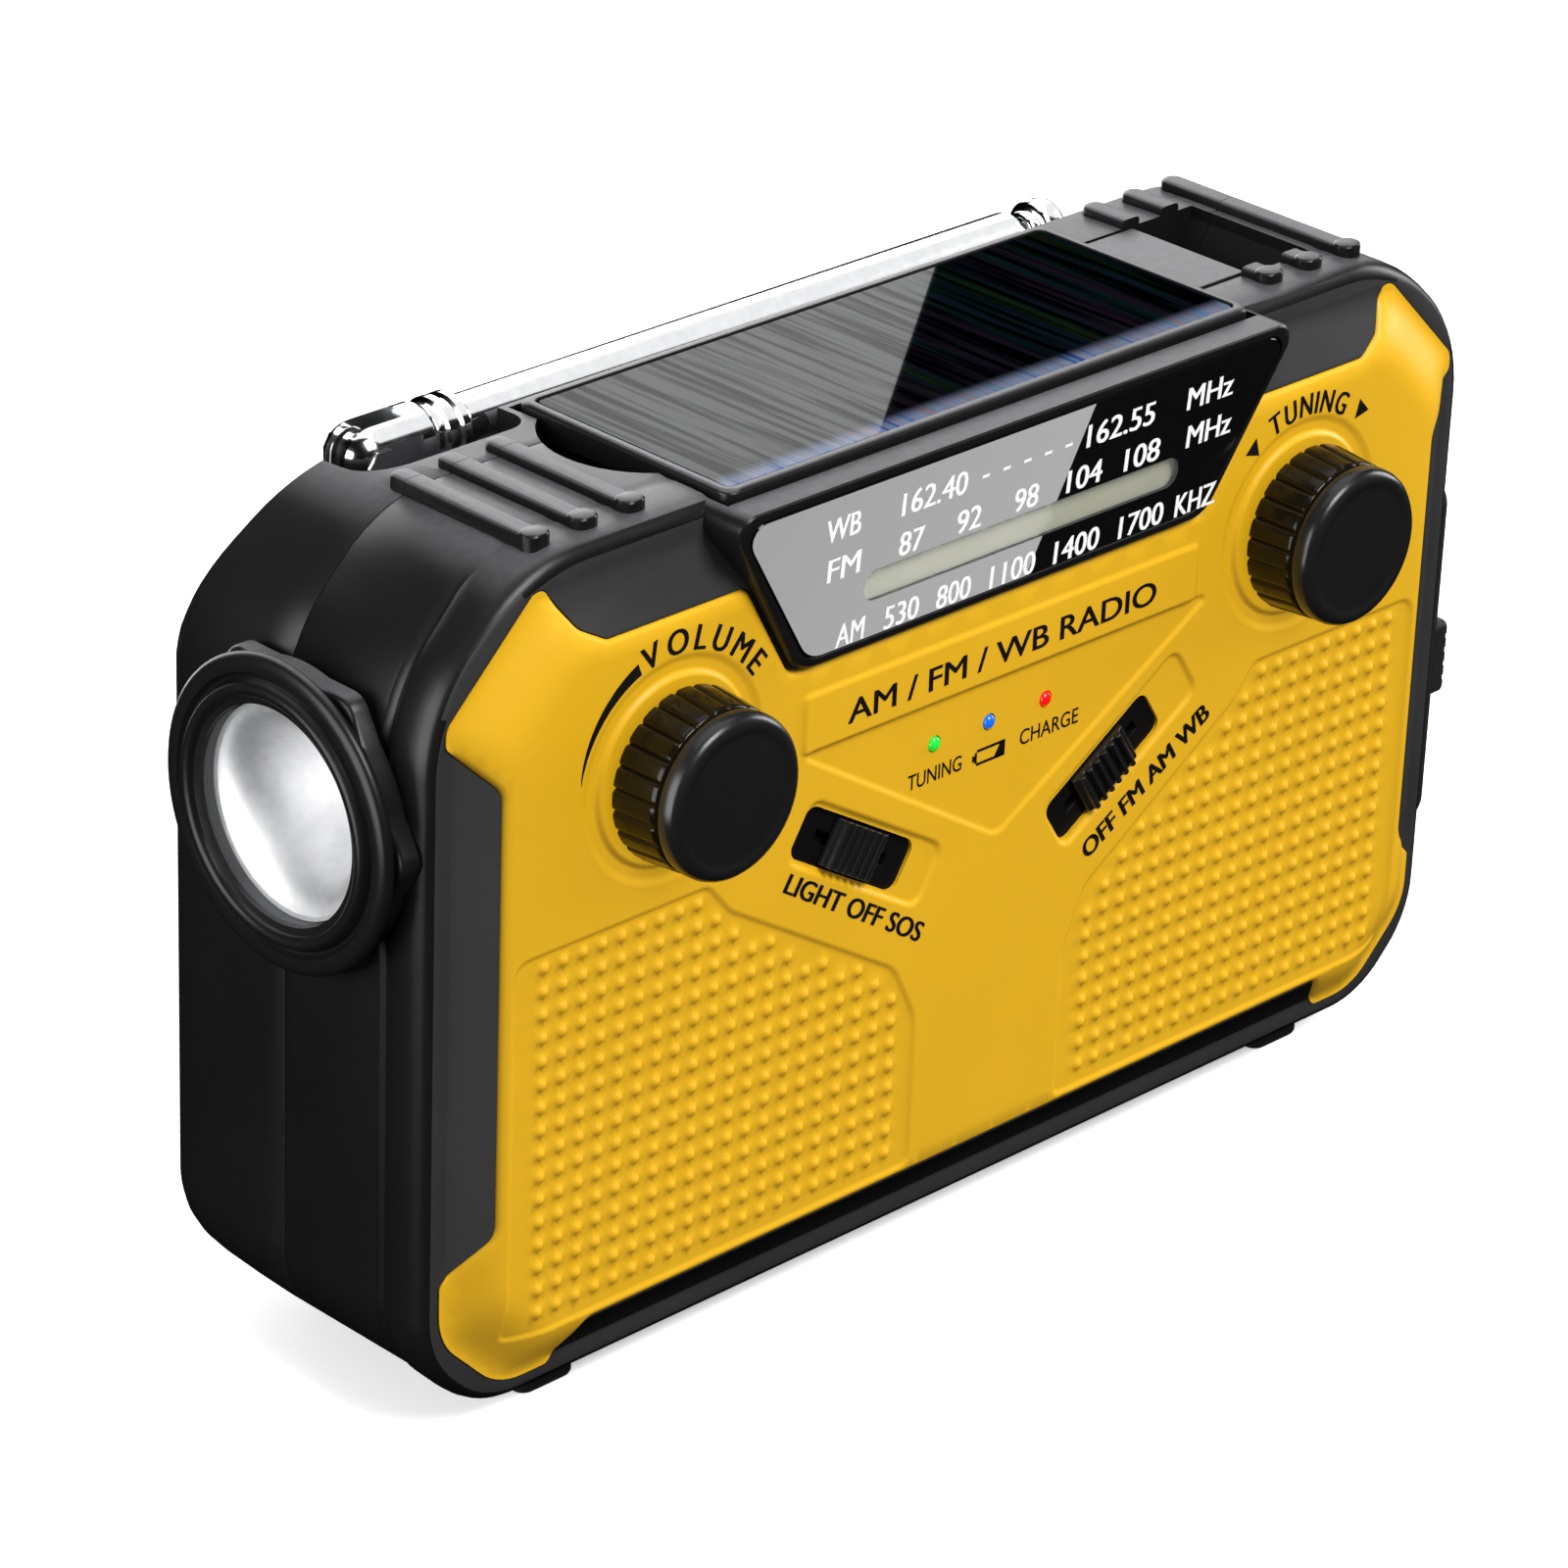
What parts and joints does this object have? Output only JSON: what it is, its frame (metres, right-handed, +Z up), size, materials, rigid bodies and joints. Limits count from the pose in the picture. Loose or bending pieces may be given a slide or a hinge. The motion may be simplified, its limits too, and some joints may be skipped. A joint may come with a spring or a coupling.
{
  "type": "portable emergency radio",
  "caption": "Portable emergency radio with dial window, two knobs, slide switches, end flashlight, tilting solar lid, telescopic antenna and fold-out hand crank.",
  "frame": {"origin": "Centre of the bounding box's underside, on the surface the feet stand on.", "axes": "+X along the radio's length towards the socket end, +Y from the yellow face back to the crank, +Z up."},
  "size_m": [0.169, 0.0594, 0.1015],
  "materials": {
    "black_plastic": "satin moulded, dark charcoal black",
    "yellow_plastic": "satin moulded, safety yellow",
    "smoke_plastic": "dark smoky translucent, polished",
    "dial_glass": "glossy black printed window",
    "scale_olive": "flat olive grey",
    "pointer_red": "glossy red",
    "chrome": "polished",
    "steel": "zinc plated",
    "rubber": "matte",
    "nylon": "natural white",
    "board": "green solder mask",
    "copper": "varnished copper winding",
    "silicon": "dark cells under clear cover",
    "clear": "clear moulded",
    "mirror": "vacuum metallised",
    "cell_wrap": "blue shrink wrap",
    "paper_cone": "black pressed paper",
    "lamp_white": "milky diffuser"
  },
  "bodies": {
    "case": {"front_shell": "black_plastic", "rear_shell": "black_plastic", "flashlight_bezel": "black_plastic", "face_panel": "yellow_plastic", "dial_lens": "dial_glass", "dial_plate": "scale_olive", "volume_pot": "steel", "light_switch_body": "steel", "band_switch_body": "steel", "speaker_frame": "steel", "usb_port": "steel", "charge_port": "steel", "lid_hinge_pin": "steel", "screw_1": "steel", "screw_2": "steel", "screw_3": "steel", "screw_4": "steel", "foot_1": "rubber", "foot_2": "rubber", "foot_3": "rubber", "foot_4": "rubber", "dial_cord": "nylon", "tuning_capacitor": "nylon", "flashlight_led": "nylon", "main_board": "board", "generator_stator": "copper", "flashlight_lens": "clear", "led_tuning": "clear", "led_battery": "clear", "led_charge": "clear", "flashlight_reflector": "mirror", "battery_cell": "cell_wrap", "speaker_cone": "paper_cone"},
    "volume_control": {"volume_knob": "smoke_plastic", "volume_knob_cap": "black_plastic", "volume_shaft": "steel"},
    "tuning_control": {"tuning_knob": "smoke_plastic", "tuning_knob_cap": "black_plastic", "tuning_shaft": "steel"},
    "pointer": {"dial_pointer": "pointer_red"},
    "light_slider": {"light_switch_slider": "black_plastic"},
    "band_slider": {"band_switch_slider": "black_plastic"},
    "lid": {"solar_lid": "black_plastic", "solar_cell": "silicon", "lamp_lens": "lamp_white"},
    "antenna_swivel_base": {"antenna_base": "chrome"},
    "antenna_arm": {"antenna_knuckle": "chrome", "antenna_tube_1": "chrome"},
    "antenna_section_2": {"antenna_tube_2": "chrome"},
    "antenna_section_3": {"antenna_tube_3": "chrome"},
    "antenna_section_4": {"antenna_tube_4": "chrome", "antenna_tip": "chrome"},
    "crank": {"crank_arm": "black_plastic", "crank_gear": "nylon"},
    "grip_yoke": {"crank_yoke": "steel"},
    "grip": {"crank_grip": "black_plastic"},
    "idler": {"idler_gear": "nylon"},
    "generator": {"generator_rotor": "steel"},
    "cover": {"port_cover": "rubber"},
    "door": {"battery_door": "black_plastic"}
  },
  "joints": [
    {"name": "volume_turn", "type": "hinge", "parent": "case", "child": "volume_control", "pos_m": [-0.0482, -0.02, 0.0728], "axis": [0, 1, 0], "range_deg": [0, 270]},
    {"name": "tuning_turn", "type": "hinge", "parent": "case", "child": "tuning_control", "pos_m": [0.049, -0.02, 0.0728], "axis": [0, 1, 0], "range_deg": [0, 200]},
    {"name": "pointer_slide", "type": "slide", "parent": "case", "child": "pointer", "axis": [1, 0, 0], "range_m": [0, 0.0495]},
    {"name": "light_switch_slide", "type": "slide", "parent": "case", "child": "light_slider", "axis": [0.859, 0, -0.512], "range_m": [-0.005, 0.005]},
    {"name": "band_switch_slide", "type": "slide", "parent": "case", "child": "band_slider", "axis": [0.8396, 0, 0.5432], "range_m": [-0.005, 0.005]},
    {"name": "lid_hinge", "type": "hinge", "parent": "case", "child": "lid", "pos_m": [0.047, -0.0008, 0.098], "axis": [0, 1, 0], "range_deg": [0, 110]},
    {"name": "antenna_swivel", "type": "hinge", "parent": "case", "child": "antenna_swivel_base", "pos_m": [-0.0571, 0.0192, 0.0976], "axis": [0, 0, 1], "range_deg": [0, 90]},
    {"name": "antenna_tilt", "type": "hinge", "parent": "antenna_swivel_base", "child": "antenna_arm", "pos_m": [-0.0571, 0.0192, 0.0976], "axis": [0, -1, 0], "range_deg": [0, 90]},
    {"name": "antenna_slide_2", "type": "slide", "parent": "antenna_arm", "child": "antenna_section_2", "axis": [1, 0, 0], "range_m": [0, 0.074]},
    {"name": "antenna_slide_3", "type": "slide", "parent": "antenna_section_2", "child": "antenna_section_3", "axis": [1, 0, 0], "range_m": [0, 0.074]},
    {"name": "antenna_slide_4", "type": "slide", "parent": "antenna_section_3", "child": "antenna_section_4", "axis": [1, 0, 0], "range_m": [0, 0.074]},
    {"name": "crank_turn", "type": "hinge", "parent": "case", "child": "crank", "pos_m": [0.0384, 0.02, 0.05], "axis": [0, 1, 0], "continuous": true},
    {"name": "grip_fold", "type": "hinge", "parent": "crank", "child": "grip_yoke", "pos_m": [0.0384, 0.0255, 0.0215], "axis": [-1, 0, 0], "range_deg": [0, 90]},
    {"name": "grip_spin", "type": "hinge", "parent": "grip_yoke", "child": "grip", "pos_m": [0.0384, 0.0255, 0.0215], "axis": [0, 0, 1], "continuous": true},
    {"name": "idler_turn", "type": "hinge", "parent": "case", "child": "idler", "pos_m": [0.0144, 0.013, 0.05], "axis": [0, 1, 0], "continuous": true},
    {"name": "generator_turn", "type": "hinge", "parent": "case", "child": "generator", "pos_m": [0.0144, 0.009, 0.074], "axis": [0, 1, 0], "continuous": true},
    {"name": "port_cover_hinge", "type": "hinge", "parent": "case", "child": "cover", "pos_m": [0.0805, 0.017, 0.0447], "axis": [0, 0, 1], "range_deg": [0, 95]},
    {"name": "battery_door_hinge", "type": "hinge", "parent": "case", "child": "door", "pos_m": [-0.0341, 0.0265, 0.008], "axis": [-1, 0, 0], "range_deg": [0, 100]}
  ],
  "couplings": [
    {"joint": "pointer_slide", "follows": "tuning_turn", "m_per_rad": 0.0141},
    {"joint": "idler_turn", "follows": "crank_turn", "ratio": -3},
    {"joint": "generator_turn", "follows": "crank_turn", "ratio": 9}
  ]
}
